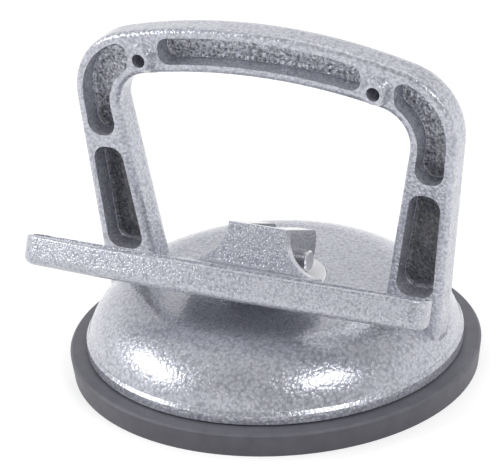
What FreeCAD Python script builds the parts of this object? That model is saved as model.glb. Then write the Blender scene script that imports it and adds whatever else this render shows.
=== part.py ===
"""Floor tile suction lifter: one rubber cup under a cast housing, worked by a cam lever.

Frame, in millimetres: the origin is the centre of the cup's sealing face, +Z up, X along
the handle and the lever, and the lever's blade lies on the -Y side. Everything is drawn
released: blade low, pull stud down. Lifting the blade turns the two cam cheeks on the
nylon cam pad and draws the stud, and the middle of the cup, upwards.
"""
import FreeCAD
import Part

import math
import os

V = FreeCAD.Vector
X_AXIS, Y_AXIS, Z_AXIS = V(1, 0, 0), V(0, 1, 0), V(0, 0, 1)
ORIGIN = V(0, 0, 0)

# Rubber cup
CUP_R = 59.0
CUP_FOOT_R = 58.2
CUP_RIM_H = 7.0
SEAL_R = 47.0              # inner edge of the ring that seals on the tile
VACUUM_DEPTH = 2.6         # height of the chamber over the tile, released
MEMBRANE_T = 2.8
SEAL_GROOVE_W = 1.2
SEAL_GROOVE_DEPTH = 0.6
SEAL_GROOVE_COUNT = 3
CUP_HUB_WALL = 3.8         # rubber collar round the insert plate
CUP_HUB_FLOOR = 3.4        # rubber under the insert plate

# Steel moulded into the cup
PLATE_R = 20.0
PLATE_T = 2.4
PLATE_GAP = 0.3            # between the plate's edge and the rubber collar
THREAD_R = 5.0
THREAD_GAP = 0.05
NUT_FLATS = 17.0
NUT_H = 4.0

# Pull stud
STUD_R = 5.6
STUD_FLAT = 7.0            # thickness of the eye across its two flats
STUD_GUIDE_GAP = 0.08

# Lever pivot and cams
PIN_R = 3.0
PIN_PRESS_GAP = 0.02
PIN_RUN_GAP = 0.06
PIN_PROUD = 3.2            # pin standing out of each cheek
PIN_CHAMFER = 0.4
CAM_REST = 6.2             # pivot to cam pad, released
CAM_RISE = 3.4             # rise per radian of lever turn
CAM_GAP = 0.03
LEVER_TILT = 24.0          # degrees the blade stands up in the released position
LEVER_TRAVEL = 64.0        # degrees from released to locked
CAM_RUN_ON = 18.0           # degrees of cam beyond the locked position
CHEEK_OUT = 8.8
CHEEK_SIDE_GAP = 0.25      # between an eye flat and a cheek
CHEEK_FLAT = 8.0           # flat foot of each cheek, in front of the pivot
HUB_TOP = 8.4              # top of the cheeks over the pivot, square to the blade

# Lever blade, in its own plane
BLADE_HALF = 61.3
BLADE_REACH = 41.5         # pivot to the front edge, in the middle
BLADE_BOW = 6.4            # how far the front edge falls back at the ends
BLADE_END = 8.6            # width of the blade at its ends
BLADE_MID = 13.6           # width of the blade beside the neck
BLADE_T = 8.4
BLADE_DROP = 3.0           # top of the blade under the pivot
BLADE_NOSE_R = 5.0
BLADE_TAIL_R = 3.0
BLADE_SKIN = 3.2
BLADE_WALL = 3.2
BLADE_RIM_W = 1.6
BLADE_DISH = 0.8
BLADE_EDGE_R = 0.8
BLADE_UNDER_R = 2.6        # round of the blade's lower edge
BLADE_CORE_R = 0.9
WEB_T = 3.0
WEB_FRONT = 12.2           # pivot to the front face of the web
WEB_HALF = 9.0
WEB_FLARE_R = 11.3
WEB_FOOT_R = 1.2           # hollow round between the web and the blade's top
NECK_T = 5.0

# Nylon cam pad
PAD_R = 15.4
PAD_T = 3.4
PAD_PROUD = 0.5            # pad standing out of the dome
PAD_SEAT_GAP = 0.15
PAD_BORE_GAP = 0.5
PAD_EDGE_R = 0.5

# Dome of the housing
DOME_TOP = 26.1            # height of the dome's crown
DOME_FALL = 0.1            # fall of the crown from the pad seat to the shoulder
CROWN_R = 36.0
CROWN_FILLET = 12.0
FLANK_BULGE = 3.1          # swell of the flank over its straight line
LIP_R = 54.1
LIP_H = 3.2
LIP_STEP = 0.7
LIP_GAP = 0.5              # shadow gap between lip and cup
FLANK_STEP = 0.5
SEAT_IN = 49.5             # inner radius of the ring that bears on the cup
SEAT_OUT = 52.3
DOME_WALL = 3.0
GUIDE_R = 10.0
GUIDE_L = 6.0              # length of the stud's guide bore below the pad seat
CROWN_T = 3.0              # metal under the cam pad
RIB_T = 2.4
RIB_COUNT = 6
RIB_DEPTH = 4.0

# Handle, drawn on its front plane
GRIP_FRONT = -3.2
GRIP_DEPTH = 12.2
GRIP_APEX = 101.2
GRIP_CORNER_X = 39.0
GRIP_CORNER_Z = 76.7
GRIP_CORNER_R = 19.5
GRIP_LEAN = 6.4            # degrees the outer edge of a leg leans out
HOLE_APEX = 87.9
HOLE_CORNER_X = 34.6
HOLE_CORNER_Z = 74.3
HOLE_CORNER_R = 10.0
HOLE_LEAN = 10.5
GRIP_FRONT_R = 1.8
GRIP_BACK_R = 5.4
POCKET_DEPTH = 6.8
POCKET_OUT_WALL = 2.6
POCKET_IN_WALL = 2.7
POCKET_END_R = 3.2
LEG_END_R = 4.0            # round ends of the pockets in the legs
POCKET_FLOOR_R = 1.0
LEG_POCKET_LOW = 28.8
LEG_RIB_LOW = 60.2
LEG_RIB_T = 3.4
CORNER_POCKET_X = 40.8
TOP_POCKET_X = 31.0
BOSS_X = 35.8
BOSS_Z = 89.5
BOSS_R = 4.6
BOSS_TIP_R = 3.1
BOSS_PROUD = 2.7
BOSS_BORE_R = 2.0
BOSS_BORE_L = 10.0

# Heights and places that follow
PAD_TOP = DOME_TOP + PAD_PROUD
PAD_SEAT = PAD_TOP - PAD_T
PIVOT_Z = PAD_TOP + CAM_REST
LIFT = CAM_RISE * math.radians(LEVER_TRAVEL)
PLATE_Z = VACUUM_DEPTH + CUP_HUB_FLOOR
NUT_Z = PLATE_Z + PLATE_T
LIP_Z = CUP_RIM_H + LIP_GAP
GRIP_BACK = GRIP_FRONT + GRIP_DEPTH
FAR = 4 * CUP_R


def polygon_face(points):
    """Flat face inside a closed run of straight edges."""
    return Part.Face(Part.makePolygon([V(*p) for p in points] + [V(*points[0])]))


def turned(profile):
    """Solid of revolution about Z from (radius, height) points."""
    face = polygon_face([(r, 0, z) for r, z in profile])
    return face.revolve(ORIGIN, Z_AXIS, 360)


def cylinder(radius, low, high, x=0.0, y=0.0):
    """Upright cylinder between two heights."""
    return Part.makeCylinder(radius, high - low, V(x, y, low), Z_AXIS)


def cross_cylinder(radius, half, y=0.0, z=0.0):
    """Cylinder along X, centred on x = 0."""
    return Part.makeCylinder(radius, 2 * half, V(-half, y, z), X_AXIS)


def box(low, high):
    """Box between two opposite corners."""
    size = [b - a for a, b in zip(low, high)]
    return Part.makeBox(*size, V(*low))


def edges_where(shape, test):
    """Edges of a shape that pass a test."""
    return [edge for edge in shape.Edges if test(edge)]


def rim_edges(shape, height):
    """Edges of a shape that lie flat at one height."""
    return edges_where(shape, lambda e: abs(e.BoundBox.ZMin - height) < 0.001
                       and abs(e.BoundBox.ZMax - height) < 0.001)


def ring_edges(shape, radius, height, tol=0.01):
    """Full circles about Z of one radius at one height."""
    def hit(edge):
        c = edge.Curve
        return (isinstance(c, Part.Circle) and abs(c.Radius - radius) < tol
                and abs(c.Center.z - height) < tol)
    return edges_where(shape, hit)


def make_cup():
    """Rubber cup: sealing ring, thin membrane and a collar round the insert plate."""
    membrane_top = VACUUM_DEPTH + MEMBRANE_T
    collar_in = PLATE_R + PLATE_GAP
    collar_out = collar_in + CUP_HUB_WALL
    land_in = SEAT_IN - 2.0
    cup = turned([
        (0, VACUUM_DEPTH), (SEAL_R - VACUUM_DEPTH, VACUUM_DEPTH), (SEAL_R, 0),
        (CUP_FOOT_R, 0), (CUP_R, CUP_RIM_H - 0.6), (CUP_R - 0.6, CUP_RIM_H),
        (land_in, CUP_RIM_H), (land_in - MEMBRANE_T, membrane_top),
        (collar_out + 1.0, membrane_top), (collar_out, NUT_Z - 0.4), (collar_in, NUT_Z - 0.4),
        (collar_in, PLATE_Z), (0, PLATE_Z),
    ])
    pitch = (CUP_FOOT_R - SEAL_R) / (SEAL_GROOVE_COUNT + 1)
    for i in range(SEAL_GROOVE_COUNT):
        r = SEAL_R + (i + 1) * pitch
        half = SEAL_GROOVE_W / 2
        groove = turned([(r - half, -1), (r + half, -1), (r + half, 0),
                         (r, SEAL_GROOVE_DEPTH), (r - half, 0)])
        cup = cup.cut(groove)
    return cup


def make_insert_plate():
    """Steel disc bonded into the cup, which the stud is screwed through."""
    disc = cylinder(PLATE_R, PLATE_Z, NUT_Z)
    disc = disc.makeFillet(0.5, ring_edges(disc, PLATE_R, NUT_Z))
    return disc.cut(cylinder(THREAD_R + THREAD_GAP, PLATE_Z - 1, NUT_Z + 1))


def make_lock_nut():
    """Hexagon nut that locks the stud on the plate, with its corners turned off."""
    corner = NUT_FLATS / math.sqrt(3)
    hexagon = polygon_face([(corner * math.cos(math.radians(60 * i)),
                             corner * math.sin(math.radians(60 * i)), NUT_Z) for i in range(6)])
    nut = hexagon.extrude(V(0, 0, NUT_H))
    top = NUT_Z + NUT_H
    turn = turned([(0, NUT_Z), (corner + 1, NUT_Z), (corner + 1, top - 1.6),
                   (NUT_FLATS / 2, top), (0, top)])
    return nut.common(turn).cut(cylinder(THREAD_R + THREAD_GAP, NUT_Z - 1, top + 1))


def make_eye_stud():
    """Round stud with a flattened eye for the pivot pin and a turned-down thread."""
    shoulder = NUT_Z + NUT_H
    thread = cylinder(THREAD_R, PLATE_Z, shoulder)
    thread = thread.makeChamfer(0.6, ring_edges(thread, THREAD_R, PLATE_Z))
    shank = cylinder(STUD_R, shoulder, PIVOT_Z)
    eye = cross_cylinder(STUD_R, STUD_R, z=PIVOT_Z)
    eye = eye.common(cylinder(STUD_R, PIVOT_Z, PIVOT_Z + STUD_R))
    stud = thread.fuse(shank).fuse(eye).removeSplitter()
    flat_from = PAD_SEAT - 1.7
    for side in (-1, 1):
        x0, x1 = sorted((side * STUD_FLAT / 2, side * (STUD_R + 1)))
        stud = stud.cut(box((x0, -FAR, flat_from), (x1, FAR, FAR)))
    return stud.cut(cross_cylinder(PIN_R + PIN_RUN_GAP, STUD_R, z=PIVOT_Z))


def make_pivot_pin():
    """Plain steel dowel through both cheeks and the stud's eye."""
    half = CHEEK_OUT + PIN_PROUD
    pin = cross_cylinder(PIN_R, half, z=PIVOT_Z)
    rims = edges_where(pin, lambda e: isinstance(e.Curve, Part.Circle))
    return pin.makeChamfer(PIN_CHAMFER, rims)


def make_cam_pad():
    """Nylon disc that the cams slide on, sunk in the crown of the dome."""
    pad = cylinder(PAD_R, PAD_SEAT, PAD_TOP)
    pad = pad.makeFillet(PAD_EDGE_R, ring_edges(pad, PAD_R, PAD_TOP))
    return pad.cut(cylinder(STUD_R + PAD_BORE_GAP, PAD_SEAT - 1, PAD_TOP + 1))


def cam_point(turn):
    """Point of the cam that touches the pad after a turn in degrees, from the pivot.

    The pivot's height over the pad grows evenly with the turn, so the cam is the curve
    whose tangent lies at CAM_REST + CAM_RISE * turn from the pivot.
    """
    a = math.radians(turn)
    reach = CAM_REST - CAM_GAP + CAM_RISE * a
    return V(0, reach * math.sin(a) + CAM_RISE * math.cos(a),
             CAM_RISE * math.sin(a) - reach * math.cos(a))


def from_blade(out, up, x=0.0):
    """Place in the released position of a point given in the blade's own plane."""
    a = math.radians(LEVER_TILT)
    return V(x, up * math.sin(a) - out * math.cos(a), out * math.sin(a) + up * math.cos(a))


def stand_up(shape):
    """Turn a shape drawn flat, with -Y outwards, to the blade's released tilt."""
    shape.rotate(ORIGIN, X_AXIS, -LEVER_TILT)
    return shape


def make_cheeks():
    """Cam cheeks in one block, before the slot: flat foot, cam, top and front."""
    last = LEVER_TRAVEL + CAM_RUN_ON
    steps = 10
    cam = Part.BSplineCurve()
    cam.interpolate([cam_point(last * i / steps) for i in range(steps + 1)])
    end = cam_point(last)
    a = math.radians(last)
    t = math.radians(LEVER_TILT)
    rise = (HUB_TOP - end.y * math.sin(t) - end.z * math.cos(t)) / math.sin(a + t)
    corner = end + V(0, math.cos(a), math.sin(a)) * rise
    foot = V(0, -CHEEK_FLAT, cam_point(0).z)
    low = from_blade(WEB_FRONT, -BLADE_DROP - NECK_T)
    high = from_blade(WEB_FRONT, HUB_TOP)
    run = [corner, high, low, foot, cam_point(0)]
    edges = [cam.toShape(), Part.makeLine(end, corner)]
    edges += [Part.makeLine(p, q) for p, q in zip(run, run[1:])]
    block = Part.Face(Part.Wire(edges)).extrude(V(2 * CHEEK_OUT, 0, 0))
    block.translate(V(-CHEEK_OUT, 0, 0))
    tail = edges_where(block, lambda e: e.Length > 2 * CHEEK_OUT - 0.01
                       and (e.CenterOfMass - V(0, corner.y, corner.z)).Length < 0.01)
    return block.makeFillet(2.5, tail)


def web_outline(y):
    """Front view of the web, flared into the blade at its foot."""
    top = HUB_TOP
    foot = -BLADE_DROP - BLADE_DISH
    half = WEB_HALF
    spread = half + WEB_FLARE_R
    lowest = -BLADE_DROP - NECK_T
    start = foot + WEB_FLARE_R
    bend = math.sqrt(0.5) * WEB_FLARE_R

    def at(x, up):
        return V(x, y, up)

    right = Part.Arc(at(half, start), at(spread - bend, start - bend), at(spread, foot))
    left = Part.Arc(at(-spread, foot), at(-spread + bend, start - bend), at(-half, start))
    edges = [Part.makeLine(at(-half, top), at(half, top)), Part.makeLine(at(half, top), at(half, start)),
             right.toShape(), Part.makeLine(at(spread, foot), at(spread, lowest)),
             Part.makeLine(at(spread, lowest), at(-spread, lowest)),
             Part.makeLine(at(-spread, lowest), at(-spread, foot)), left.toShape(),
             Part.makeLine(at(-half, start), at(-half, top))]
    return Part.Face(Part.Wire(edges))


def make_web():
    """Wall across the front of the cheeks, with a hollow round at its foot."""
    wall = web_outline(-WEB_FRONT).extrude(V(0, WEB_T, 0))
    spread = WEB_HALF + WEB_FLARE_R
    floor = -BLADE_DROP - BLADE_DISH
    bend = (1 - math.sqrt(0.5)) * WEB_FOOT_R
    front = -WEB_FRONT - WEB_FOOT_R
    back = -WEB_FRONT + WEB_T / 2

    def at(y, up):
        return V(-spread, y, up)

    hollow = Part.Arc(at(-WEB_FRONT, floor + WEB_FOOT_R), at(-WEB_FRONT - bend, floor + bend),
                      at(front, floor))
    run = [at(front, floor), at(front, floor - 1), at(back, floor - 1), at(back, floor + WEB_FOOT_R),
           at(-WEB_FRONT, floor + WEB_FOOT_R)]
    edges = [hollow.toShape()] + [Part.makeLine(p, q) for p, q in zip(run, run[1:])]
    bead = Part.Face(Part.Wire(edges)).extrude(V(2 * spread, 0, 0))
    return wall.fuse(bead.common(web_outline(front).extrude(V(0, WEB_FOOT_R + WEB_T, 0))))


def blade_outline(inset, up):
    """Closed plan of the blade at a height, drawn in from its edge by an inset."""
    half = BLADE_HALF - inset
    radius = (BLADE_HALF ** 2 + BLADE_BOW ** 2) / (2 * BLADE_BOW)
    hub_y = radius - BLADE_REACH
    front_r = radius - inset
    tip = hub_y - math.sqrt(front_r ** 2 - half ** 2)
    rear_end = -(BLADE_REACH - BLADE_BOW - BLADE_END) - inset
    rear_mid = -(BLADE_REACH - BLADE_MID) - inset
    bend_x = WEB_HALF + WEB_FLARE_R + 4.0
    front = Part.Arc(V(-half, tip, up), V(0, hub_y - front_r, up), V(half, tip, up)).toShape()
    run = [V(half, tip, up), V(half, rear_end, up), V(bend_x, rear_mid, up), V(-bend_x, rear_mid, up),
           V(-half, rear_end, up), V(-half, tip, up)]
    return Part.Wire([front] + [Part.makeLine(p, q) for p, q in zip(run, run[1:])])


def rounded_slab(inset, low, high, nose, tail):
    """Upright slab on the blade's plan with round ends."""
    slab = Part.Face(blade_outline(inset, low)).extrude(V(0, 0, high - low))
    end = BLADE_HALF - inset - 0.01
    ends = edges_where(slab, lambda e: abs(abs(e.CenterOfMass.x) - end) < 0.05
                       and abs(e.Length - (high - low)) < 0.001)
    mid = -(BLADE_REACH - BLADE_BOW - BLADE_END / 2)
    slab = slab.makeFillet(nose, [e for e in ends if e.CenterOfMass.y < mid])
    ends = edges_where(slab, lambda e: abs(abs(e.CenterOfMass.x) - end) < 0.05
                       and abs(e.Length - (high - low)) < 0.001 and e.CenterOfMass.y > mid
                       and abs(e.CenterOfMass.z - (low + high) / 2) < 0.01)
    return slab.makeFillet(tail, ends)


def make_blade():
    """Finger blade: bowed slab, dished on top and cored out below into two pockets."""
    top = -BLADE_DROP
    bottom = top - BLADE_T
    slab = rounded_slab(0, bottom, top, BLADE_NOSE_R, BLADE_TAIL_R)
    for height, radius in ((top, BLADE_EDGE_R), (bottom, BLADE_UNDER_R)):
        slab = slab.makeFillet(radius, rim_edges(slab, height))
    dish = rounded_slab(BLADE_RIM_W, top - BLADE_DISH, top + 1,
                        BLADE_NOSE_R - BLADE_RIM_W, BLADE_TAIL_R / 2)
    core = rounded_slab(BLADE_WALL, bottom - 1, top - BLADE_DISH - BLADE_SKIN, BLADE_CORE_R, BLADE_CORE_R)
    spine = box((-WEB_HALF, -FAR, bottom - 2), (WEB_HALF, FAR, top))
    return slab.cut(dish).cut(core.cut(spine))


def make_neck():
    """Plate between the web and the blade, filleted into the blade in plan."""
    top = -BLADE_DROP
    spread = WEB_HALF + WEB_FLARE_R
    rear = -(BLADE_REACH - BLADE_MID)
    flare = 6.0
    y0, y1 = -(WEB_FRONT - WEB_T), rear - BLADE_RIM_W
    low = top - NECK_T
    turn = math.sqrt(0.5) * flare

    def side(s):
        arc = Part.Arc(V(s * (spread + flare), rear, low), V(s * (spread + flare - turn), rear + flare - turn, low),
                       V(s * spread, rear + flare, low))
        return arc.toShape()

    edges = [side(1), Part.makeLine(V(spread, rear + flare, low), V(spread, y0, low)),
             Part.makeLine(V(spread, y0, low), V(-spread, y0, low)),
             Part.makeLine(V(-spread, y0, low), V(-spread, rear + flare, low)), side(-1),
             Part.makeLine(V(-spread - flare, rear, low), V(-spread - flare, y1, low)),
             Part.makeLine(V(-spread - flare, y1, low), V(spread + flare, y1, low)),
             Part.makeLine(V(spread + flare, y1, low), V(spread + flare, rear, low))]
    neck = Part.Face(Part.Wire(edges)).extrude(V(0, 0, NECK_T))
    dish = box((-spread - flare - 1, y1 - 1, top - BLADE_DISH), (spread + flare + 1, y0 + 1, top + 1))
    return neck.cut(dish)


def make_lever():
    """One casting: two cam cheeks, the web in front of them, the neck and the blade."""
    flat = make_web().fuse([make_neck(), make_blade()])
    lever = make_cheeks().fuse(stand_up(flat)).removeSplitter()
    slot_half = STUD_FLAT / 2 + CHEEK_SIDE_GAP
    slot = box((-slot_half, -(WEB_FRONT - WEB_T), -FAR), (slot_half, FAR, FAR))
    lever = lever.cut(stand_up(slot))
    lever = lever.cut(cross_cylinder(PIN_R + PIN_PRESS_GAP, CHEEK_OUT + 1))
    lever.translate(V(0, 0, PIVOT_Z))
    return lever


def arch_face(corner_x, corner_z, corner_r, lean, apex, foot):
    """Face under an arch: leaning sides, round corners and a bowed top, down to a foot."""
    rise = apex - corner_z
    top_r = (corner_x ** 2 + rise ** 2 - corner_r ** 2) / (2 * (rise - corner_r))
    top_z = apex - top_r
    a = math.radians(lean)
    side_x = corner_x + corner_r * math.cos(a)
    side_z = corner_z - corner_r * math.sin(a)
    foot_x = side_x - (side_z - foot) * math.tan(a)
    gap = math.hypot(corner_x, corner_z - top_z)
    join_x = corner_x + corner_r * corner_x / gap
    join_z = corner_z + corner_r * (corner_z - top_z) / gap
    mid = math.radians(45)
    mid_x = corner_x + corner_r * math.sin(mid)
    mid_z = corner_z + corner_r * math.cos(mid)

    def at(x, z):
        return V(x, 0, z)

    edges = [Part.makeLine(at(foot_x, foot), at(side_x, side_z)),
             Part.Arc(at(side_x, side_z), at(mid_x, mid_z), at(join_x, join_z)).toShape(),
             Part.Arc(at(join_x, join_z), at(0, apex), at(-join_x, join_z)).toShape(),
             Part.Arc(at(-join_x, join_z), at(-mid_x, mid_z), at(-side_x, side_z)).toShape(),
             Part.makeLine(at(-side_x, side_z), at(-foot_x, foot)),
             Part.makeLine(at(-foot_x, foot), at(foot_x, foot))]
    return Part.Face(Part.Wire(edges))


def grip_band(outer_inset, inner_inset, foot):
    """Flat band of the handle between its outer edge and its hole, each drawn in."""
    lean_out = outer_inset / math.cos(math.radians(GRIP_LEAN))
    outer = arch_face(GRIP_CORNER_X, GRIP_CORNER_Z, GRIP_CORNER_R - lean_out, GRIP_LEAN,
                      GRIP_APEX - outer_inset, foot)
    inner = arch_face(HOLE_CORNER_X, HOLE_CORNER_Z, HOLE_CORNER_R + inner_inset, HOLE_LEAN,
                      HOLE_APEX + inner_inset, foot - 1)
    return outer.cut(inner)


def make_grip():
    """Handle arch: pocket side in front, rounded for the palm behind."""
    foot = LIP_Z + LIP_H + FLANK_STEP
    grip = grip_band(0, 0, foot).extrude(V(0, GRIP_DEPTH, 0))
    grip.translate(V(0, GRIP_FRONT, 0))

    def rim(y):
        return edges_where(grip, lambda e: abs(e.BoundBox.YMin - y) < 0.01 and abs(e.BoundBox.YMax - y) < 0.01
                           and e.BoundBox.ZMax > foot + 0.1)

    grip = grip.makeFillet(GRIP_BACK_R, rim(GRIP_BACK))
    return grip.makeFillet(GRIP_FRONT_R, rim(GRIP_FRONT))


def grip_pockets():
    """Cored pockets of the handle: one over the hole, one in each corner, one in each leg."""
    band = grip_band(POCKET_OUT_WALL, POCKET_IN_WALL, LIP_Z)
    slab = band.extrude(V(0, POCKET_DEPTH + 1, 0))
    slab.translate(V(0, GRIP_FRONT - 1, 0))
    cells = [box((-TOP_POCKET_X, -FAR, HOLE_CORNER_Z), (TOP_POCKET_X, FAR, FAR))]
    for s in (-1, 1):
        x0, x1 = sorted((s * CORNER_POCKET_X, s * FAR))
        cells.append(box((x0, -FAR, LEG_RIB_LOW + LEG_RIB_T), (x1, FAR, FAR)))
        x0, x1 = sorted((0, s * FAR))
        cells.append(box((x0, -FAR, LEG_POCKET_LOW), (x1, FAR, LEG_RIB_LOW)))
    pockets = []
    for cell in cells:
        pocket = slab.common(cell).Solids[0]
        sharp = [e for e in upright_edges(pocket) if is_corner(pocket, e)]
        low = [e for e in sharp if e.CenterOfMass.z < HOLE_CORNER_Z]
        if low:
            pocket = pocket.makeFillet(LEG_END_R, low)
            sharp = [e for e in upright_edges(pocket) if is_corner(pocket, e)]
        if sharp:
            pocket = pocket.makeFillet(POCKET_END_R, sharp)
        floor = edges_where(pocket, lambda e: abs(e.BoundBox.YMin - GRIP_FRONT - POCKET_DEPTH) < 0.01)
        pockets.append(pocket.makeFillet(POCKET_FLOOR_R, floor))
    return pockets


def upright_edges(pocket):
    """Edges of a pocket that run straight from its mouth to its floor."""
    return edges_where(pocket, lambda e: abs(e.Length - POCKET_DEPTH - 1) < 0.001
                       and e.BoundBox.YLength > POCKET_DEPTH)


def is_corner(solid, edge):
    """Whether the two faces at an edge meet at an angle."""
    sides = [f for f in solid.Faces if any(e.isSame(edge) for e in f.Edges)]
    p = edge.CenterOfMass
    normals = [f.normalAt(*f.Surface.parameter(p)) for f in sides]
    return normals[0].getAngle(normals[1]) > 0.15


def flank_points():
    """Top, swollen middle and foot of the dome's flank, and its outward direction."""
    top = V(CROWN_R, 0, DOME_TOP - DOME_FALL)
    foot = V(LIP_R - LIP_STEP, 0, LIP_Z + LIP_H + FLANK_STEP)
    chord = foot - top
    out = V(-chord.z, 0, chord.x).normalize()
    return top, (top + foot) * 0.5 + out * FLANK_BULGE, foot, out


def make_dome():
    """Outside of the dome as a turned solid, closed below."""
    top, middle, foot, _ = flank_points()
    run = [(foot.x, foot.z), (foot.x, foot.z - FLANK_STEP / 2), (LIP_R, LIP_Z + LIP_H - LIP_STEP),
           (LIP_R, LIP_Z), (SEAT_OUT, LIP_Z), (SEAT_OUT, CUP_RIM_H), (0, CUP_RIM_H),
           (0, DOME_TOP + DOME_FALL), (top.x, top.z)]
    edges = [Part.Arc(top, middle, foot).toShape()]
    edges += [Part.makeLine(V(a, 0, b), V(c, 0, d)) for (a, b), (c, d) in zip(run, run[1:])]
    dome = Part.Face(Part.Wire(edges)).revolve(ORIGIN, Z_AXIS, 360)
    return dome.makeFillet(CROWN_FILLET, ring_edges(dome, top.x, top.z))


def dome_cavity():
    """Space inside the housing round the stud's guide."""
    ceiling = DOME_TOP - DOME_WALL - DOME_FALL
    crown = PAD_SEAT - CROWN_T
    guide_end = PAD_SEAT - GUIDE_L
    _, middle, _, out = flank_points()
    middle = middle - out * DOME_WALL
    return turned([
        (STUD_R + STUD_GUIDE_GAP, CUP_RIM_H - 1), (SEAT_IN, CUP_RIM_H - 1), (SEAT_IN, LIP_Z + LIP_H),
        (middle.x, middle.z), (CROWN_R - DOME_WALL / 2, ceiling), (PAD_R + DOME_WALL, ceiling),
        (PAD_R + DOME_WALL / 2, crown), (GUIDE_R, crown), (GUIDE_R, guide_end),
        (STUD_R + STUD_GUIDE_GAP, guide_end),
    ])


def dome_ribs():
    """Radial ribs under the crown."""
    top = DOME_TOP - DOME_FALL - DOME_WALL / 2
    ribs = []
    for i in range(RIB_COUNT):
        rib = box((GUIDE_R - 1, -RIB_T / 2, top - RIB_DEPTH), (CROWN_R + DOME_WALL, RIB_T / 2, top))
        rib.rotate(ORIGIN, Z_AXIS, 360 * (i + 0.5) / RIB_COUNT)
        ribs.append(rib)
    return ribs


def boss_stubs():
    """Tapered stubs in the corners of the handle."""
    stubs = []
    for s in (-1, 1):
        tip = V(s * BOSS_X, GRIP_FRONT - BOSS_PROUD, BOSS_Z)
        stubs.append(Part.makeCone(BOSS_TIP_R, BOSS_R, BOSS_PROUD + 0.5, tip, Y_AXIS))
    return stubs


def boss_bores():
    """Blind bores in the stubs."""
    bores = []
    for s in (-1, 1):
        mouth = V(s * BOSS_X, GRIP_FRONT - BOSS_PROUD - 1, BOSS_Z)
        bores.append(Part.makeCylinder(BOSS_BORE_R, BOSS_BORE_L + 1, mouth, Y_AXIS))
    return bores


def make_housing():
    """Dome and handle in one casting."""
    outside = make_dome().fuse(make_grip()).removeSplitter()
    hollow = dome_cavity().cut(Part.Compound(dome_ribs()))
    seat = cylinder(PAD_R + PAD_SEAT_GAP, PAD_SEAT, FAR)
    bore = cylinder(STUD_R + STUD_GUIDE_GAP, 0, FAR)
    housing = outside.cut([hollow, seat.common(cylinder(PAD_R + 1, 0, PIVOT_Z)),
                           bore.common(cylinder(GUIDE_R, 0, PIVOT_Z))])
    housing = housing.cut(grip_pockets())
    return housing.fuse(boss_stubs()).cut(boss_bores())


def save(name, shape):
    """Write one named sub-part."""
    shape.exportStep("parts/%s.step" % name)
    box_ = shape.BoundBox
    print("%-14s solids %d valid %s volume %.0f  x %.1f..%.1f y %.1f..%.1f z %.1f..%.1f" % (
        name, len(shape.Solids), shape.isValid(), shape.Volume,
        box_.XMin, box_.XMax, box_.YMin, box_.YMax, box_.ZMin, box_.ZMax))


def main():
    os.makedirs("parts", exist_ok=True)
    print("lift %.2f mm, pivot at z %.2f" % (LIFT, PIVOT_Z))
    save("rubber_cup", make_cup())
    save("insert_plate", make_insert_plate())
    save("lock_nut", make_lock_nut())
    save("eye_stud", make_eye_stud())
    save("cam_pad", make_cam_pad())
    save("pivot_pin", make_pivot_pin())
    save("lever", make_lever())
    save("housing", make_housing())


main()
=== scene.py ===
"""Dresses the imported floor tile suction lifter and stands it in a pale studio.

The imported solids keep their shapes. This script gives each of them its finish, adds the small
round marks that ejector pins leave on the floors of the handle's pockets, and sets up the
floor, the lamps and the camera. The lifter's lengths are in millimetres, the studio's in
metres.
"""
import logging
import math
from dataclasses import dataclass
from enum import Enum
from typing import Any, Sequence

import bmesh
import bpy
from mathutils import Matrix, Vector


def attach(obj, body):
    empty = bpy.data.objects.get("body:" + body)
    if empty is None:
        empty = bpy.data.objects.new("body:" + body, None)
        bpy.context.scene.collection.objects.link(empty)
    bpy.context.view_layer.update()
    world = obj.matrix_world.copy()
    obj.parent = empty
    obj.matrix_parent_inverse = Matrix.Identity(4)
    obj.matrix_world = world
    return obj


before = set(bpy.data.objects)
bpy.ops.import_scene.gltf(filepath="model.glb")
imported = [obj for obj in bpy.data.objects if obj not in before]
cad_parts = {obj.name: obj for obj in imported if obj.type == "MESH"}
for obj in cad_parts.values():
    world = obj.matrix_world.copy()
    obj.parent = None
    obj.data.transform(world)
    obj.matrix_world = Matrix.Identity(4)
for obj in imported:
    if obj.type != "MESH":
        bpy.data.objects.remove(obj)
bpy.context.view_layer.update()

MM = 0.001
LOG = logging.getLogger("lifter")

Socket = bpy.types.NodeSocket
Colour = tuple[float, float, float]
Range = tuple[float, float]


class Body(Enum):
    """Bodies that added pieces ride on."""

    HOUSING = "housing_body"


class Slot(Enum):
    """Record slot of the hammertone casting."""

    CASTING = "hammertone_casting"


class Axis(Enum):
    """Axis that a turned piece was spun about."""

    X = "X"
    Z = "Z"


class Coordinate(Enum):
    """What a shader reads at a point."""

    PLACE = "Object"
    FACING = "Normal"
    DIRECTION = "Generated"


class Sum(Enum):
    """Arithmetic on two shader values."""

    ADD = "ADD"
    MULTIPLY = "MULTIPLY"
    SMALLER = "MINIMUM"


class Course(Enum):
    """How a value goes from one level to another."""

    STRAIGHT = "LINEAR"
    SMOOTH = "SMOOTHSTEP"


def metres(span: Range) -> Range:
    """Turns a range in millimetres into metres."""
    low, high = span
    return low * MM, high * MM


def shaded(colour: Colour, factor: float) -> Colour:
    """Multiplies a colour by a factor, and keeps it within 1."""
    red, green, blue = (min(1.0, factor * part) for part in colour)
    return red, green, blue


def bearing(azimuth: float, elevation: float) -> Vector:
    """Unit vector from the lifter towards a lamp or the camera.

    Args:
        azimuth: Degrees round the lifter, from -Y towards +X.
        elevation: Degrees above the floor.

    Returns:
        The vector.
    """
    a, e = math.radians(azimuth), math.radians(elevation)
    return Vector((math.sin(a) * math.cos(e), -math.cos(a) * math.cos(e), math.sin(e)))


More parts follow.
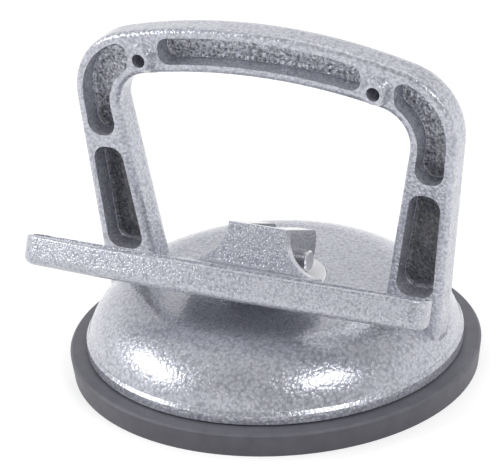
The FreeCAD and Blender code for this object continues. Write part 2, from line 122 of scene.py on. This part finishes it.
class NodeTree:
    """Adds nodes to a shader tree and links them."""

    def __init__(self, tree: bpy.types.NodeTree) -> None:
        """Takes over a tree.

        Args:
            tree: Node tree of a material or a world.
        """
        self.tree = tree

    def add(self, kind: str, **settings: Any) -> bpy.types.Node:
        """Adds a node.

        Args:
            kind: Blender's identifier of the node type.
            **settings: Properties to set on the node.

        Returns:
            The new node.
        """
        node = self.tree.nodes.new(kind)
        for key, value in settings.items():
            setattr(node, key, value)
        return node

    def link(self, value: Socket | float | Sequence[float], into: Socket) -> None:
        """Links an output to an input, or sets the input to a constant.

        Args:
            value: Output socket, number or vector.
            into: Input socket.
        """
        if isinstance(value, Socket):
            self.tree.links.new(value, into)
        else:
            into.default_value = value

    def coordinate(self, which: Coordinate) -> Socket:
        """Vector that says where a point is or which way it faces."""
        return self.add("ShaderNodeTexCoord").outputs[which.value]

    def parts(self, which: Coordinate) -> dict[str, Socket]:
        """Splits a coordinate.

        Args:
            which: Coordinate to read.

        Returns:
            The sockets of X, Y and Z by their letters.
        """
        node = self.add("ShaderNodeSeparateXYZ")
        self.link(self.coordinate(which), node.inputs["Vector"])
        return {letter: node.outputs[letter] for letter in "XYZ"}

    def places(self, stretch: Sequence[float] = (1.0, 1.0, 1.0)) -> Socket:
        """Object coordinates, stretched along each axis.

        Args:
            stretch: Factor along X, Y and Z.

        Returns:
            The vector socket.
        """
        mapping = self.add("ShaderNodeMapping")
        self.link(stretch, mapping.inputs["Scale"])
        self.link(self.coordinate(Coordinate.PLACE), mapping.inputs["Vector"])
        return mapping.outputs["Vector"]

    def noise(self, where: Socket, size: float, detail: float = 2.0, swirl: float = 0.0) -> Socket:
        """Noise from 0 to 1 whose features are about a given size in millimetres.

        Args:
            where: Vector socket the noise is laid on.
            size: Size of a feature.
            detail: Octaves of finer noise.
            swirl: How far the noise is stirred.

        Returns:
            The value socket.
        """
        node = self.add("ShaderNodeTexNoise")
        self.link(1.0 / (size * MM), node.inputs["Scale"])
        self.link(detail, node.inputs["Detail"])
        self.link(swirl, node.inputs["Distortion"])
        self.link(where, node.inputs["Vector"])
        return node.outputs["Fac"]

    def ramp(self, factor: Socket, stops: Sequence[tuple[float, Colour]]) -> Socket:
        """Colour ramp over a factor.

        Args:
            factor: Socket that drives the ramp.
            stops: Positions and their colours.

        Returns:
            The colour socket.
        """
        node = self.add("ShaderNodeValToRGB")
        elements = node.color_ramp.elements
        while len(elements) < len(stops):
            elements.new(1.0)
        for element, (position, colour) in zip(elements, stops):
            element.position = position
            element.color = (*colour, 1.0)
        self.link(factor, node.inputs["Fac"])
        return node.outputs["Color"]

    def remap(self, value: Socket, over: Range, onto: tuple[Socket | float, Socket | float],
              course: Course) -> Socket:
        """Maps one range of values onto another and holds them inside it.

        Args:
            value: Socket to map.
            over: Values at which the mapping starts and ends.
            onto: What it gives there, each a number or a socket.
            course: How it goes between the two.

        Returns:
            The value socket.
        """
        node = self.add("ShaderNodeMapRange", interpolation_type=course.value)
        for name, end in zip(("From Min", "From Max", "To Min", "To Max"), (*over, *onto)):
            self.link(end, node.inputs[name])
        self.link(value, node.inputs["Value"])
        return node.outputs["Result"]

    def span(self, value: Socket, onto: tuple[Socket | float, Socket | float]) -> Socket:
        """Maps a 0 to 1 value straight onto a range."""
        return self.remap(value, (0.0, 1.0), onto, Course.STRAIGHT)

    def step(self, value: Socket, over: Range,
             onto: tuple[Socket | float, Socket | float] = (0.0, 1.0)) -> Socket:
        """Goes smoothly from one level to another while a value crosses a range."""
        return self.remap(value, over, onto, Course.SMOOTH)

    def sums(self, operation: Sum, a: Socket, b: Socket | float) -> Socket:
        """Arithmetic on two values.

        Args:
            operation: What to do with them.
            a: First value.
            b: Second value, which may be a number.

        Returns:
            The value socket.
        """
        node = self.add("ShaderNodeMath", operation=operation.value)
        self.link(a, node.inputs[0])
        self.link(b, node.inputs[1])
        return node.outputs["Value"]

    def unsigned(self, value: Socket) -> Socket:
        """Takes the sign off a value.

        Args:
            value: Socket of the value.

        Returns:
            The value socket.
        """
        node = self.add("ShaderNodeMath", operation="ABSOLUTE")
        self.link(value, node.inputs[0])
        return node.outputs["Value"]

    def shifted(self, vector: Socket, by: Socket | Sequence[float]) -> Socket:
        """Adds a vector to a vector.

        Args:
            vector: Socket of the first vector.
            by: Second vector, a socket or numbers.

        Returns:
            The vector socket.
        """
        node = self.add("ShaderNodeVectorMath", operation="ADD")
        self.link(vector, node.inputs[0])
        self.link(by, node.inputs[1])
        return node.outputs["Vector"]

    def scaled(self, vector: Socket, factor: Socket | float) -> Socket:
        """Multiplies a vector or a colour.

        Args:
            vector: Socket of the vector or colour.
            factor: Number or socket to multiply it by.

        Returns:
            The vector socket.
        """
        node = self.add("ShaderNodeVectorMath", operation="SCALE")
        self.link(vector, node.inputs[0])
        self.link(factor, node.inputs["Scale"])
        return node.outputs["Vector"]

    def bump(self, height: Socket, depth: float, under: Socket | None = None) -> Socket:
        """Bump of a given depth in millimetres.

        Args:
            height: Socket of the relief, 1 at its top.
            depth: Depth of the relief.
            under: Normal of another bump that this one lies on.

        Returns:
            The normal socket.
        """
        node = self.add("ShaderNodeBump")
        self.link(1.0, node.inputs["Strength"])
        self.link(depth * MM, node.inputs["Distance"])
        self.link(height, node.inputs["Height"])
        if under is not None:
            self.link(under, node.inputs["Normal"])
        return node.outputs["Normal"]


class FinishTree(NodeTree):
    """Node tree of a new material with a Principled shader."""

    def __init__(self, name: str) -> None:
        """Starts the material.

        Args:
            name: Name of the material.
        """
        self.material = bpy.data.materials.new(name)
        self.material.use_nodes = True
        super().__init__(self.material.node_tree)
        self.shader = self.tree.nodes["Principled BSDF"]

    def surface(self, colour: Socket, roughness: Socket, normal: Socket) -> None:
        """Links what varies over the surface to the shader.

        Args:
            colour: Socket of the base colour.
            roughness: Socket of the roughness.
            normal: Socket of the normal.
        """
        self.link(colour, self.shader.inputs["Base Color"])
        self.link(roughness, self.shader.inputs["Roughness"])
        self.link(normal, self.shader.inputs["Normal"])

    def fixed(self, **values: float) -> None:
        """Sets constant values on the shader's own sockets.

        Args:
            **values: Values by the sockets' names, in small letters with underscores.
        """
        for key, value in values.items():
            name = key.replace("_", " ").title().replace("Ior", "IOR")
            self.shader.inputs[name].default_value = value


@dataclass(frozen=True)
class HammertonePaint:
    """Glossy silver-grey hammertone: aluminium flake drawn into dimples under clear lacquer."""

    name: str = "hammertone_paint"
    light: Colour = (0.66, 0.67, 0.745)
    dark: Colour = (0.34, 0.35, 0.405)
    tone_stops: tuple[float, float, float] = (0.12, 0.52, 0.86)
    metal: float = 0.5
    roughness: Range = (0.18, 0.40)
    lacquer: float = 0.7
    lacquer_roughness: float = 0.06
    # Dimples: width, softness of their edges, depth, and how far they are stirred.
    cell: float = 0.95
    cell_softness: float = 0.55
    depth: float = 0.17
    stir: float = 0.8
    stir_cells: float = 1.6
    # Flake and larger patches: size, and how far each moves the tone.
    flake: float = 0.50
    flake_swing: float = 0.60
    flake_depth: float = 0.03
    patch: float = 9.0
    patch_swing: float = 0.10
    # The paint lies flatter on the dome, which ends at this height.
    dome_share: float = 0.6
    dome_end: Range = (26.0, 36.0)
    # Pocket floors lie behind the handle's front, face forward and start above the dome.
    pocket_depth: Range = (1.0, 3.0)
    pocket_facing: Range = (-0.10, -0.75)
    pocket_bottom: Range = (26.0, 32.0)
    # They are rough as cast, with a speckled tone, and carry painted shade that is deepest low down.
    crust: float = 0.8
    crust_depth: float = 0.45
    crust_tone: Range = (-0.8, 2.9)
    pocket_shade_rise: Range = (56.0, 88.0)
    pocket_shade_level: Range = (0.16, 0.80)
    # Painted shade on the flat sides of the cam cheeks: how they face, how far they reach, and how dark.
    cheek_facing: Range = (0.80, 0.95)
    cheek_side: Range = (10.0, 9.4)
    cheek_front: Range = (-13.0, -10.0)
    cheek_top: Range = (60.0, 50.0)
    cheek_shade: float = 0.5

    def build(self) -> bpy.types.Material:
        """Makes the material.

        Returns:
            The material.
        """
        tree = FinishTree(self.name)
        where = tree.places()
        place, facing = tree.parts(Coordinate.PLACE), tree.parts(Coordinate.FACING)
        dimple = self.dimples(tree, where)
        flakes = tree.noise(where, self.flake)
        crust = tree.noise(where, self.crust)
        pocket = self.pocket_mask(tree, place, facing)
        colour = self.mottle(tree, where, dimple, flakes)
        # Painted shade: the pocket floors and the flat sides of the cam cheeks are darkened.
        colour = tree.scaled(colour, self.pocket_painted_shade(tree, pocket, place["Z"], crust))
        colour = tree.scaled(colour, self.cheek_painted_shade(tree, place, facing))
        share = tree.step(place["Z"], metres(self.dome_end), (-self.dome_share, -1.0))
        grain = tree.bump(flakes, self.flake_depth)
        relief = tree.bump(tree.sums(Sum.MULTIPLY, dimple, share), self.depth, under=grain)
        rough_cast = tree.bump(tree.sums(Sum.MULTIPLY, crust, pocket), self.crust_depth,
                               under=relief)
        tree.surface(colour, tree.span(flakes, self.roughness), rough_cast)
        tree.fixed(metallic=self.metal, coat_weight=self.lacquer,
                   coat_roughness=self.lacquer_roughness)
        return tree.material

    def dimples(self, tree: FinishTree, where: Socket) -> Socket:
        """Stirred cells that the paint draws together in.

        Args:
            tree: Tree of the paint.
            where: Vector socket the cells are laid on.

        Returns:
            Distance from the middle of each cell.
        """
        stirring = tree.noise(where, self.cell * self.stir_cells, detail=1.0).node
        offset = tree.shifted(stirring.outputs["Color"], (-0.5, -0.5, -0.5))
        stirred = tree.shifted(where, tree.scaled(offset, self.cell * self.stir * MM))
        cells = tree.add("ShaderNodeTexVoronoi", feature="SMOOTH_F1")
        tree.link(1.0 / (self.cell * MM), cells.inputs["Scale"])
        tree.link(self.cell_softness, cells.inputs["Smoothness"])
        tree.link(stirred, cells.inputs["Vector"])
        return cells.outputs["Distance"]

    def mottle(self, tree: FinishTree, where: Socket, dimple: Socket, flakes: Socket) -> Socket:
        """Colour of the full coat.

        Args:
            tree: Tree of the paint.
            where: Vector socket the patches are laid on.
            dimple: Distance from the middle of a dimple.
            flakes: Noise of the flake.

        Returns:
            The colour socket.
        """
        fine = tree.span(flakes, (-self.flake_swing, self.flake_swing))
        broad = tree.span(tree.noise(where, self.patch), (-self.patch_swing, self.patch_swing))
        tone = tree.sums(Sum.ADD, tree.sums(Sum.ADD, fine, broad), dimple)
        red, green, blue = (0.5 * (a + b) for a, b in zip(self.light, self.dark))
        colours = (self.light, (red, green, blue), self.dark)
        return tree.ramp(tone, list(zip(self.tone_stops, colours)))

    def pocket_mask(self, tree: FinishTree, place: dict[str, Socket],
                    facing: dict[str, Socket]) -> Socket:
        """Finds the floors of the handle's cored pockets.

        Args:
            tree: Tree of the paint.
            place: Place of a point, in metres.
            facing: Way the surface faces there.

        Returns:
            Socket that is 1 on the floors and 0 elsewhere.
        """
        deep = tree.step(place["Y"], metres(self.pocket_depth))
        front = tree.step(facing["Y"], self.pocket_facing)
        above = tree.step(place["Z"], metres(self.pocket_bottom))
        return tree.sums(Sum.MULTIPLY, tree.sums(Sum.MULTIPLY, deep, front), above)

    def pocket_painted_shade(self, tree: FinishTree, pocket: Socket, height: Socket, crust: Socket) -> Socket:
        """Painted shade on the pocket floors, deepest low down, times their speckled tone: the share of
        brightness left.

        Args:
            tree: Tree of the paint.
            pocket: 1 on the pocket floors and 0 elsewhere.
            height: Height in metres.
            crust: Grain of the rough-cast floors.

        Returns:
            The value socket.
        """
        left = tree.span(tree.step(height, metres(self.pocket_shade_rise)), self.pocket_shade_level)
        speckled = tree.sums(Sum.MULTIPLY, left, tree.span(crust, self.crust_tone))
        return tree.span(pocket, (1.0, speckled))

    def cheek_painted_shade(self, tree: FinishTree, place: dict[str, Socket],
                facing: dict[str, Socket]) -> Socket:
        """Painted shade on the flat sides of the cam cheeks, where the web shelters them: the share of
        brightness left.

        Args:
            tree: Tree of the paint.
            place: Place of a point, in metres.
            facing: Way the surface faces there.

        Returns:
            The value socket.
        """
        sideways = tree.step(tree.unsigned(facing["X"]), self.cheek_facing)
        near = tree.step(tree.unsigned(place["X"]), metres(self.cheek_side))
        back = tree.step(place["Y"], metres(self.cheek_front))
        low = tree.step(place["Z"], metres(self.cheek_top))
        cheek = tree.sums(Sum.MULTIPLY, tree.sums(Sum.MULTIPLY, sideways, near), back)
        return tree.span(tree.sums(Sum.MULTIPLY, cheek, low), (1.0, self.cheek_shade))


@dataclass(frozen=True)
class MouldedNylon:
    """White nylon with faint flow clouds and a soft sheen."""

    name: str = "moulded_nylon"
    colour: Colour = (0.93, 0.93, 0.95)
    cloud: float = 7.0
    cloud_shade: float = 0.93
    cloud_stops: Range = (0.35, 0.65)
    grain: float = 0.3
    grain_depth: float = 0.01
    roughness: Range = (0.34, 0.46)
    skin: float = 0.2
    skin_roughness: float = 0.3

    def build(self) -> bpy.types.Material:
        """Makes the material.

        Returns:
            The material.
        """
        tree = FinishTree(self.name)
        where = tree.places()
        low, high = self.cloud_stops
        colour = tree.ramp(tree.noise(where, self.cloud, detail=3.0),
                           [(low, shaded(self.colour, self.cloud_shade)), (high, self.colour)])
        grain = tree.noise(where, self.grain)
        tree.surface(colour, tree.span(grain, self.roughness), tree.bump(grain, self.grain_depth))
        tree.fixed(coat_weight=self.skin, coat_roughness=self.skin_roughness)
        return tree.material


@dataclass(frozen=True)
class TurnedSteel:
    """Steel turned about an axis: fine rings on the round, duller sawn ends."""

    name: str
    axis: Axis
    colour: Colour
    roughness: Range = (0.20, 0.36)
    ring: float = 0.12
    ring_depth: float = 0.008
    ring_stretch: float = 0.06
    stain: float = 3.0
    stain_shade: float = 0.78
    stain_stops: Range = (0.35, 0.60)
    end_facing: Range = (0.85, 0.97)
    end_shade: float = 0.85

    def build(self) -> bpy.types.Material:
        """Makes the material.

        Returns:
            The material.
        """
        tree = FinishTree(self.name)
        stretch = [1.0 if axis == self.axis.value else self.ring_stretch for axis in "XYZ"]
        rings = tree.noise(tree.places(stretch), self.ring, detail=3.0)
        low, high = self.stain_stops
        colour = tree.ramp(tree.noise(tree.places(), self.stain, detail=3.0),
                           [(low, shaded(self.colour, self.stain_shade)), (high, self.colour)])
        along = tree.parts(Coordinate.FACING)[self.axis.value]
        ends = tree.step(tree.unsigned(along), self.end_facing)
        colour = tree.scaled(colour, tree.span(ends, (1.0, self.end_shade)))
        tree.surface(colour, tree.span(rings, self.roughness), tree.bump(rings, self.ring_depth))
        tree.fixed(metallic=1.0)
        return tree.material


@dataclass(frozen=True)
class ZincPlate:
    """Dull zinc plate with a cloudy bloom."""

    name: str = "zinc_plate"
    colour: Colour = (0.56, 0.57, 0.58)
    metal: float = 0.95
    bloom: float = 2.2
    bloom_swirl: float = 0.6
    bloom_lift: float = 1.25
    bloom_stops: Range = (0.3, 0.7)
    grain: float = 0.25
    grain_depth: float = 0.01
    roughness: Range = (0.38, 0.55)

    def build(self) -> bpy.types.Material:
        """Makes the material.

        Returns:
            The material.
        """
        tree = FinishTree(self.name)
        where = tree.places()
        bloom = tree.noise(where, self.bloom, detail=4.0, swirl=self.bloom_swirl)
        low, high = self.bloom_stops
        colour = tree.ramp(bloom, [(low, self.colour),
                                   (high, shaded(self.colour, self.bloom_lift))])
        grain = tree.noise(where, self.grain)
        tree.surface(colour, tree.span(bloom, self.roughness), tree.bump(grain, self.grain_depth))
        tree.fixed(metallic=self.metal)
        return tree.material


@dataclass(frozen=True)
class MattRubber:
    """Black moulded rubber with a fine spark-eroded grain and a little dust."""

    name: str = "matt_rubber"
    colour: Colour = (0.125, 0.125, 0.148)
    dusty: Colour = (0.160, 0.160, 0.186)
    dust: float = 5.0
    dust_stops: Range = (0.35, 0.75)
    grain: float = 0.28
    grain_depth: float = 0.02
    roughness: Range = (0.44, 0.60)

    def build(self) -> bpy.types.Material:
        """Makes the material.

        Returns:
            The material.
        """
        tree = FinishTree(self.name)
        where = tree.places()
        low, high = self.dust_stops
        colour = tree.ramp(tree.noise(where, self.dust, detail=5.0),
                           [(low, self.colour), (high, self.dusty)])
        grain = tree.noise(where, self.grain, detail=3.0)
        tree.surface(colour, tree.span(grain, self.roughness), tree.bump(grain, self.grain_depth))
        return tree.material


def dress(node: str, material: bpy.types.Material) -> bpy.types.Object:
    """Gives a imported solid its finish.

    Args:
        node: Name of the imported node.
        material: Finish to give it.

    Returns:
        The node's object.
    """
    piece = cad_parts[node]
    piece.data.materials.clear()
    piece.data.materials.append(material)
    LOG.info("dressed %s in %s", node, material.name)
    return piece


def add_piece(name: str, shape: bmesh.types.BMesh, material: bpy.types.Material, body: Body) -> bpy.types.Object:
    """Turns a shape in millimetres into a piece that rides on a body.

    Args:
        name: Name of the piece.
        shape: Its mesh, which is freed.
        material: Its finish.
        body: Body it moves with.

    Returns:
        The new object.
    """
    bmesh.ops.recalc_face_normals(shape, faces=shape.faces)
    bmesh.ops.scale(shape, vec=(MM, MM, MM), verts=shape.verts)
    mesh = bpy.data.meshes.new(name)
    shape.to_mesh(mesh)
    shape.free()
    mesh.materials.append(material)
    piece = bpy.data.objects.new(name, mesh)
    bpy.context.scene.collection.objects.link(piece)
    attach(piece, body.value)
    LOG.info("added %s", name)
    return piece


@dataclass(frozen=True)
class Softbox:
    """Rectangular lamp that looks at the lifter: angles in degrees, lengths in metres."""

    name: str
    azimuth: float
    elevation: float
    distance: float
    size: Range
    watts: float

    def hang(self, aim: Sequence[float]) -> None:
        """Puts the lamp up.

        Args:
            aim: Point that it looks at.
        """
        back = bearing(self.azimuth, self.elevation)
        lamp = bpy.data.lights.new(self.name, "AREA")
        lamp.shape = "RECTANGLE"
        lamp.size, lamp.size_y = self.size
        lamp.energy = self.watts
        holder = bpy.data.objects.new(self.name, lamp)
        holder.location = Vector(aim) + back * self.distance
        holder.rotation_mode = "QUATERNION"
        holder.rotation_quaternion = (-back).to_track_quat("-Z", "Y")
        bpy.context.scene.collection.objects.link(holder)


@dataclass
class Studio:
    """Pale floor, soft room, lamps and the camera."""

    # Floor: its own colour and glow, and what camera, mirror and glass rays see of it.
    floor_half: float = 4.0
    floor_tone: float = 0.55
    floor_glow: float = 0.60
    floor_roughness: float = 0.9
    seen_tone: Range = (0.20, 0.80)
    seen_reach: Range = (0.08, 0.20)
    seen_centre: tuple[float, float, float] = (0.0, -0.08, 0.0)
    seen_lift: Range = (0.05, 0.40)
    lift_run: Range = (-0.15, 0.06)
    # Room: a white sweep, then a sky that is bright on one side.
    sweep_top: Range = (0.10, 0.24)
    sky: tuple[Range, ...] = ((0.0, 0.90), (0.30, 0.80), (0.60, 0.50), (1.0, 0.45))
    room_level: float = 1.25
    front_share: float = 0.36
    bright_side: tuple[float, float, float] = (-0.45, 0.89, 0.0)
    bright_run: Range = (-1.0, 0.15)
    aim: tuple[float, float, float] = (0.0, 0.0, 0.035)
    lamps: tuple[Softbox, ...] = (
        Softbox("left_softbox", -62.0, 28.0, 1.5, (0.84, 0.42), 6.4),
        Softbox("right_softbox", 63.0, 44.0, 1.5, (0.74, 0.32), 5.8),
        Softbox("overhead", 200.0, 66.0, 1.9, (1.6, 1.0), 5.0),
        Softbox("front_card", -2.0, 22.0, 1.6, (0.90, 0.45), 0.9),
    )
    camera_place: tuple[float, float, float] = (0.36592, -0.73082, 0.42689)
    camera_azimuth: float = 27.008
    camera_elevation: float = 25.416
    camera_roll: float = 2.932
    lens: float = 230.16

    def build(self) -> None:
        """Makes the floor, the world, the lamps and the camera."""
        self.make_floor()
        self.make_world()
        for lamp in self.lamps:
            lamp.hang(self.aim)
        self.make_camera()

    def make_floor(self) -> None:
        """Large pale floor that keeps the lifter's shadow."""
        shape = bmesh.new()
        bmesh.ops.create_grid(shape, x_segments=1, y_segments=1, size=self.floor_half)
        mesh = bpy.data.meshes.new("floor")
        shape.to_mesh(mesh)
        shape.free()
        mesh.materials.append(self.floor_paint())
        floor = bpy.data.objects.new("floor", mesh)
        bpy.context.scene.collection.objects.link(floor)

    def floor_paint(self) -> bpy.types.Material:
        """Matt paint that is seen white away from the lifter, but lights it like a grey floor.

        Returns:
            The material.
        """
        tree = FinishTree("floor_paint")
        tree.fixed(roughness=self.floor_roughness, specular_ior_level=0.0)
        path = tree.add("ShaderNodeLightPath").outputs
        seen = tree.sums(Sum.ADD, path["Is Camera Ray"], path["Is Glossy Ray"])
        seen = tree.sums(Sum.ADD, seen, path["Is Transmission Ray"])
        seen = tree.sums(Sum.SMALLER, seen, 1.0)
        reach = tree.add("ShaderNodeVectorMath", operation="LENGTH")
        from_centre = tree.shifted(tree.places(), -Vector(self.seen_centre))
        tree.link(from_centre, reach.inputs[0])
        away = tree.step(reach.outputs["Value"], self.seen_reach)
        shade = tree.span(seen, (tree.span(away, self.seen_tone), self.floor_tone))
        tree.link(shade, tree.shader.inputs["Base Color"])
        behind = tree.step(tree.parts(Coordinate.PLACE)["Y"], self.lift_run, self.seen_lift)
        lift = tree.sums(Sum.MULTIPLY, away, behind)
        glow = tree.add("ShaderNodeEmission")
        tree.link((1.0, 1.0, 1.0, 1.0), glow.inputs["Color"])
        tree.link(tree.span(seen, (lift, self.floor_glow)), glow.inputs["Strength"])
        both = tree.add("ShaderNodeAddShader")
        tree.link(tree.shader.outputs["BSDF"], both.inputs[0])
        tree.link(glow.outputs["Emission"], both.inputs[1])
        tree.link(both.outputs["Shader"], tree.tree.nodes["Material Output"].inputs["Surface"])
        return tree.material

    def make_world(self) -> None:
        """White sweep low down all round, and above it a room that is bright on one side."""
        world = bpy.data.worlds.new("studio")
        bpy.context.scene.world = world
        world.use_nodes = True
        tree = NodeTree(world.node_tree)
        facing = tree.add("ShaderNodeVectorMath", operation="DOT_PRODUCT")
        tree.link(tree.coordinate(Coordinate.DIRECTION), facing.inputs[0])
        tree.link(self.bright_side, facing.inputs[1])
        share = tree.step(facing.outputs["Value"], self.bright_run,
                          (self.room_level * self.front_share, self.room_level))
        height = tree.parts(Coordinate.DIRECTION)["Z"]
        dome = tree.ramp(height, [(position, (tone, tone, tone)) for position, tone in self.sky])
        room = tree.sums(Sum.MULTIPLY, dome, share)
        background = tree.tree.nodes["Background"]
        tree.link((1.0, 1.0, 1.0, 1.0), background.inputs["Color"])
        tree.link(tree.step(height, self.sweep_top, (1.0, room)), background.inputs["Strength"])

    def make_camera(self) -> None:
        """Long lens from the front right, a little above."""
        back = bearing(self.camera_azimuth, self.camera_elevation)
        a, r = math.radians(self.camera_azimuth), math.radians(self.camera_roll)
        level = Vector((math.cos(a), math.sin(a), 0.0))
        rise = back.cross(level)
        right = level * math.cos(r) - rise * math.sin(r)
        up = level * math.sin(r) + rise * math.cos(r)
        data = bpy.data.cameras.new("camera")
        data.lens = self.lens
        data.clip_start, data.clip_end = 0.01, 20.0
        camera = bpy.data.objects.new("camera", data)
        turn = Matrix((right, up, back)).transposed().to_4x4()
        camera.matrix_world = Matrix.Translation(Vector(self.camera_place)) @ turn
        bpy.context.scene.collection.objects.link(camera)
        bpy.context.scene.camera = camera


@dataclass
class CastHousing:
    """Dome and handle casting, with the ejector marks on its pocket floors."""

    pocket_floor: float = 3.6
    mark_radius: float = 2.6
    mark_proud: float = 0.22
    mark_sunk: float = 0.3
    mark_edge: float = 0.12
    mark_sides: int = 40
    mark_places: tuple[tuple[float, float], ...] = (
        (26.5, 92.4), (46.6, 83.9), (49.0, 67.8), (46.8, 55.4))

    def build(self, paint: bpy.types.Material) -> None:
        """Dresses the casting and adds its marks.

        Args:
            paint: Finish of the casting.
        """
        dress("housing", paint)
        for side, word in ((-1, "left"), (1, "right")):
            for number, (x, z) in enumerate(self.mark_places, start=1):
                self.add_mark(f"ejector_mark_{word}_{number}", side * x, z, paint)

    def add_mark(self, name: str, x: float, z: float, paint: bpy.types.Material) -> None:
        """Adds one round pad left by an ejector pin.

        Args:
            name: Name of the piece.
            x: Place along the handle.
            z: Height.
            paint: Finish.
        """
        shape = bmesh.new()
        bmesh.ops.create_cone(shape, cap_ends=True, segments=self.mark_sides,
                              radius1=self.mark_radius, radius2=self.mark_radius,
                              depth=self.mark_proud + self.mark_sunk)
        rim = [e for e in shape.edges if all(v.co.z > 0 for v in e.verts)]
        bmesh.ops.bevel(shape, geom=rim, offset=self.mark_edge, offset_type="OFFSET", segments=2,
                        profile=0.5, affect="EDGES", material=-1)
        forward = Matrix.Rotation(math.radians(90), 3, "X")
        bmesh.ops.rotate(shape, cent=(0, 0, 0), matrix=forward, verts=shape.verts)
        middle = self.pocket_floor + (self.mark_sunk - self.mark_proud) / 2
        bmesh.ops.translate(shape, vec=(x, middle, z), verts=shape.verts)
        add_piece(name, shape, paint, Body.HOUSING)


@dataclass
class CamLever:
    """Finger lever with its pivot pin."""

    def build(self, paint: bpy.types.Material, steel: bpy.types.Material) -> None:
        """Dresses the lever and the pin.

        Args:
            paint: Finish of the casting.
            steel: Finish of the pin.
        """
        dress("lever", paint)
        dress("pivot_pin", steel)


@dataclass
class SuctionHead:
    """Cup, pull stud, disc, nut and the nylon pad under the cams."""

    def build(self, rubber: bpy.types.Material, nylon: bpy.types.Material,
              steel: bpy.types.Material, zinc: bpy.types.Material) -> None:
        """Dresses the pieces.

        Args:
            rubber: Finish of the cup.
            nylon: Finish of the cam pad.
            steel: Finish of the stud.
            zinc: Finish of the disc and the nut.
        """
        dress("rubber_cup", rubber)
        dress("cam_pad", nylon)
        dress("eye_stud", steel)
        dress("insert_plate", zinc)
        dress("lock_nut", zinc)


def main() -> None:
    """Builds the dressed lifter and the studio."""
    logging.basicConfig(level=logging.INFO, format="%(message)s")
    bpy.context.scene.view_settings.view_transform = "Standard"
    paint = HammertonePaint().build()
    lever_paint = HammertonePaint(name="lever_hammertone", cell=0.62, depth=0.11).build()
    nylon = MouldedNylon().build()
    pin_steel = TurnedSteel("pin_steel", Axis.X, (0.90, 0.90, 0.92), roughness=(0.11, 0.27)).build()
    stud_steel = TurnedSteel("stud_steel", Axis.Z, (0.62, 0.62, 0.61)).build()
    zinc = ZincPlate().build()
    rubber = MattRubber().build()
    CastHousing().build(paint)
    CamLever().build(lever_paint, pin_steel)
    SuctionHead().build(rubber, nylon, stud_steel, zinc)
    Studio().build()


if __name__ == "__main__":
    main()
